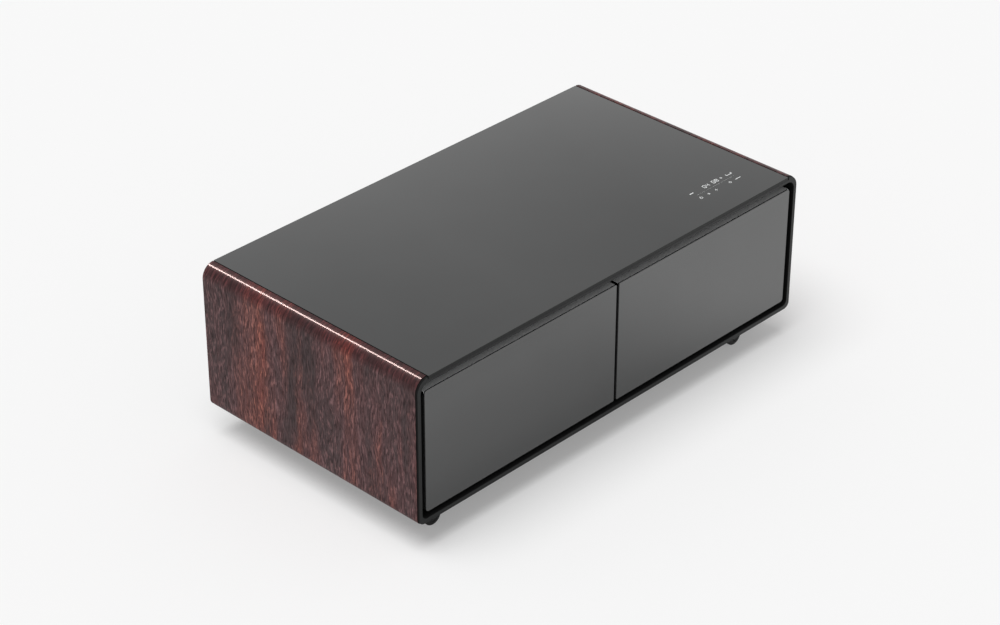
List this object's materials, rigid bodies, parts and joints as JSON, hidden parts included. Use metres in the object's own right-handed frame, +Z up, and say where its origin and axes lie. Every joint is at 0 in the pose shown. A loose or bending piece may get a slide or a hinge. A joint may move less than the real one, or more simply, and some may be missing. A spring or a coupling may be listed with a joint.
{
  "type": "refrigerator side table",
  "caption": "Low table with a black glass top, rounded dark wood ends and refrigerated glass-fronted drawers on telescopic slides, standing on swivel casters.",
  "frame": {"origin": "on the floor under the middle of the table", "axes": "+X to the right of someone who faces the drawers, +Y to the back, +Z up"},
  "size_m": [1.3, 0.702, 0.46],
  "materials": {
    "black_glass": "gloss",
    "rosewood": "satin",
    "fibreboard": "matte",
    "black_aluminium": "satin",
    "grey_aluminium": "satin",
    "black_plastic": "matte",
    "white_plastic": "satin",
    "foam": "matte",
    "seal_rubber": "matte",
    "zinc_steel": "satin",
    "black_steel": "satin",
    "tread_rubber": "matte",
    "bare_aluminium": "satin",
    "copper": "satin",
    "circuit_board": "satin",
    "brass_pins": "satin"
  },
  "bodies": {
    "cabinet": {"glass_top": "black_glass", "side_panel_left": "rosewood", "side_panel_right": "rosewood", "top_deck": "fibreboard", "base_plate": "fibreboard", "front_bezel": "black_aluminium", "face_frame": "black_plastic", "back_panel": "black_plastic", "fan_frame": "black_plastic", "drip_tray": "black_plastic", "power_inlet": "black_plastic", "liner_left": "white_plastic", "liner_right": "white_plastic", "insulation_left": "foam", "insulation_right": "foam", "insulation_divider": "foam", "insulation_top": "foam", "insulation_bottom": "foam", "insulation_rear": "foam", "compressor_grommets": "seal_rubber", "slide_outer_rails": "zinc_steel", "back_panel_screws": "zinc_steel", "caster_screws": "zinc_steel", "caster_plates": "black_steel", "compressor": "black_steel", "evaporator_plate": "bare_aluminium", "condenser": "bare_aluminium", "power_supply": "bare_aluminium", "refrigerant_pipes": "copper", "filter_drier": "copper", "charger_coil": "copper", "control_board": "circuit_board", "touch_board": "circuit_board", "inlet_pins": "brass_pins"},
    "fan_rotor": {"fan_rotor": "black_plastic"},
    "drawer_left": {"drawer_glass_left": "black_glass", "drawer_shell_left": "black_plastic", "drawer_core_left": "foam", "drawer_pull_left": "grey_aluminium", "drawer_gasket_left": "seal_rubber", "drawer_tub_left": "white_plastic", "slide_inner_rails_left": "zinc_steel"},
    "slide_middle_left": {"slide_middle_rails_left": "zinc_steel"},
    "drawer_right": {"drawer_glass_right": "black_glass", "drawer_shell_right": "black_plastic", "drawer_core_right": "foam", "drawer_pull_right": "grey_aluminium", "drawer_gasket_right": "seal_rubber", "drawer_tub_right": "white_plastic", "slide_inner_rails_right": "zinc_steel"},
    "slide_middle_right": {"slide_middle_rails_right": "zinc_steel"},
    "caster_fork_front_left": {"caster_fork_front_left": "black_steel"},
    "caster_wheel_front_left": {"caster_wheel_front_left": "tread_rubber"},
    "caster_fork_front_right": {"caster_fork_front_right": "black_steel"},
    "caster_wheel_front_right": {"caster_wheel_front_right": "tread_rubber"},
    "caster_fork_rear_left": {"caster_fork_rear_left": "black_steel"},
    "caster_wheel_rear_left": {"caster_wheel_rear_left": "tread_rubber"},
    "caster_fork_rear_right": {"caster_fork_rear_right": "black_steel"},
    "caster_wheel_rear_right": {"caster_wheel_rear_right": "tread_rubber"}
  },
  "joints": [
    {"name": "fan_spin", "type": "hinge", "parent": "cabinet", "child": "fan_rotor", "pos_m": [-0.02, 0.285, 0.162], "axis": [0, 1, 0], "continuous": true},
    {"name": "drawer_left_slide", "type": "slide", "parent": "cabinet", "child": "drawer_left", "axis": [0, -1, 0], "range_m": [0, 0.4]},
    {"name": "middle_left_slide", "type": "slide", "parent": "cabinet", "child": "slide_middle_left", "axis": [0, -1, 0], "range_m": [0, 0.2]},
    {"name": "drawer_right_slide", "type": "slide", "parent": "cabinet", "child": "drawer_right", "axis": [0, -1, 0], "range_m": [0, 0.4]},
    {"name": "middle_right_slide", "type": "slide", "parent": "cabinet", "child": "slide_middle_right", "axis": [0, -1, 0], "range_m": [0, 0.2]},
    {"name": "caster_swivel_front_left", "type": "hinge", "parent": "cabinet", "child": "caster_fork_front_left", "pos_m": [-0.53, -0.2815, 0.0695], "axis": [0, 0, 1], "continuous": true},
    {"name": "caster_roll_front_left", "type": "hinge", "parent": "caster_fork_front_left", "child": "caster_wheel_front_left", "pos_m": [-0.5465, -0.2815, 0.025], "axis": [0, 1, 0], "continuous": true},
    {"name": "caster_swivel_front_right", "type": "hinge", "parent": "cabinet", "child": "caster_fork_front_right", "pos_m": [0.53, -0.2815, 0.0695], "axis": [0, 0, 1], "continuous": true},
    {"name": "caster_roll_front_right", "type": "hinge", "parent": "caster_fork_front_right", "child": "caster_wheel_front_right", "pos_m": [0.5135, -0.2815, 0.025], "axis": [0, 1, 0], "continuous": true},
    {"name": "caster_swivel_rear_left", "type": "hinge", "parent": "cabinet", "child": "caster_fork_rear_left", "pos_m": [-0.49, 0.2815, 0.0695], "axis": [0, 0, 1], "continuous": true},
    {"name": "caster_roll_rear_left", "type": "hinge", "parent": "caster_fork_rear_left", "child": "caster_wheel_rear_left", "pos_m": [-0.5065, 0.2815, 0.025], "axis": [0, 1, 0], "continuous": true},
    {"name": "caster_swivel_rear_right", "type": "hinge", "parent": "cabinet", "child": "caster_fork_rear_right", "pos_m": [0.49, 0.2815, 0.0695], "axis": [0, 0, 1], "continuous": true},
    {"name": "caster_roll_rear_right", "type": "hinge", "parent": "caster_fork_rear_right", "child": "caster_wheel_rear_right", "pos_m": [0.4735, 0.2815, 0.025], "axis": [0, 1, 0], "continuous": true}
  ],
  "couplings": [
    {"joint": "middle_left_slide", "follows": "drawer_left_slide", "ratio": 0.5},
    {"joint": "middle_right_slide", "follows": "drawer_right_slide", "ratio": 0.5}
  ]
}
